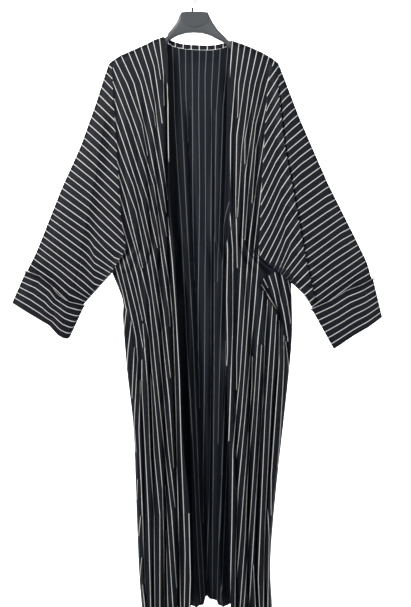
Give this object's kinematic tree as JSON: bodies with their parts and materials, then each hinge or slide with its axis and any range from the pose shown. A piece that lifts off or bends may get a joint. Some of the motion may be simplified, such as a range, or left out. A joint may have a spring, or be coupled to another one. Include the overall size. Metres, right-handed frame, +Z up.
{
  "type": "kimono coat on a hanger",
  "caption": "Full-length open kimono coat of thin pinstriped cloth with wide sleeves and deep cuffs, hung flat on a moulded jacket hanger.",
  "frame": {"origin": "inner top of the hanger's hook, where a rail touches it", "axes": "+Z up, -Y the way the wearer faces, +X the wearer's left"},
  "size_m": [0.925, 0.0904, 1.5696],
  "materials": {
    "cloth": "matt woven cloth with thin pale stripes",
    "binding": "folded strip of the same cloth",
    "hanger": "satin moulded plastic",
    "panel": "smooth bare panel",
    "stub": "black plastic",
    "hook": "polished"
  },
  "bodies": {
    "root": {"back": "cloth", "front_left": "cloth", "front_right": "cloth", "cuff_left": "cloth", "cuff_right": "cloth", "neck_band": "binding", "hanger_body": "hanger", "hanger_panel": "panel", "hanger_collar": "stub", "hanger_hook": "hook"}
  },
  "joints": []
}
